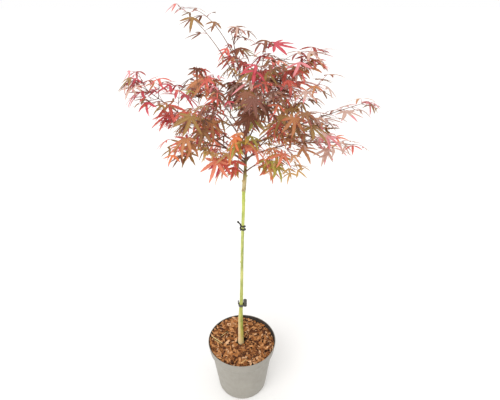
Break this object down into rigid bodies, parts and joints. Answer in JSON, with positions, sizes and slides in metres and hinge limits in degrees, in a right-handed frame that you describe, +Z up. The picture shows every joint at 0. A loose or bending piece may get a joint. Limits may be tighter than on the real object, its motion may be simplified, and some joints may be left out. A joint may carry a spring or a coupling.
{
  "type": "potted japanese maple",
  "caption": "Top-grafted Japanese maple with a clear straight stem and a small open crown of autumn leaves, standing in a filled round nursery pot.",
  "frame": {"origin": "middle of the pot's flat underside, on the surface that it stands on", "axes": "+Z up along the stem, +X to the right and -Y to the front of the view that was pictured"},
  "size_m": [0.7103, 0.6066, 1.3996],
  "materials": {
    "pot": "satin moulded plastic, taupe grey outside and darker grey inside",
    "mulch": "coarse loose bark chips",
    "stem_bark": "smooth yellow-green young bark, tan above the graft and at the foot",
    "bough_bark": "thin purple-brown young bark",
    "tie": "matt dark grey soft plastic",
    "leaf_bronze": "thin leaves turning bronze and purple-brown",
    "leaf_red": "thin young leaves in crimson and pink",
    "leaf_orange": "thin leaves turning brick red and orange",
    "leaf_amber": "thin leaves turning amber and olive yellow"
  },
  "bodies": {
    "root": {"pot": "pot", "mulch": "mulch", "stem": "stem_bark", "upper_tie": "tie", "lower_tie": "tie", "bough_low_left": "bough_bark", "foliage_low_left": "leaf_orange", "bough_low_right": "bough_bark", "foliage_low_right": "leaf_amber", "bough_left_far": "bough_bark", "foliage_left_far": "leaf_red", "bough_left_low": "bough_bark", "foliage_left_low": "leaf_orange", "bough_left_high": "bough_bark", "foliage_left_high": "leaf_red", "bough_front_left": "bough_bark", "foliage_front_left": "leaf_bronze", "bough_front": "bough_bark", "foliage_front": "leaf_bronze", "bough_front_low": "bough_bark", "foliage_front_low": "leaf_orange", "bough_front_right": "bough_bark", "foliage_front_right": "leaf_bronze", "bough_right_low": "bough_bark", "foliage_right_low": "leaf_bronze", "bough_right_far": "bough_bark", "foliage_right_far": "leaf_bronze", "bough_right_high": "bough_bark", "foliage_right_high": "leaf_red", "bough_top_right": "bough_bark", "foliage_top_right": "leaf_red", "bough_top": "bough_bark", "foliage_top": "leaf_bronze", "bough_top_front": "bough_bark", "foliage_top_front": "leaf_red", "bough_whip_left": "bough_bark", "foliage_whip_left": "leaf_bronze", "bough_top_left": "bough_bark", "foliage_top_left": "leaf_bronze", "bough_back_left": "bough_bark", "foliage_back_left": "leaf_red", "bough_back": "bough_bark", "foliage_back": "leaf_bronze", "bough_back_right": "bough_bark", "foliage_back_right": "leaf_bronze", "bough_back_left_low": "bough_bark", "foliage_back_left_low": "leaf_orange", "bough_back_right_low": "bough_bark", "foliage_back_right_low": "leaf_amber", "bough_back_high": "bough_bark", "foliage_back_high": "leaf_red", "bough_whip_top": "bough_bark", "foliage_whip_top": "leaf_bronze"}
  },
  "joints": []
}
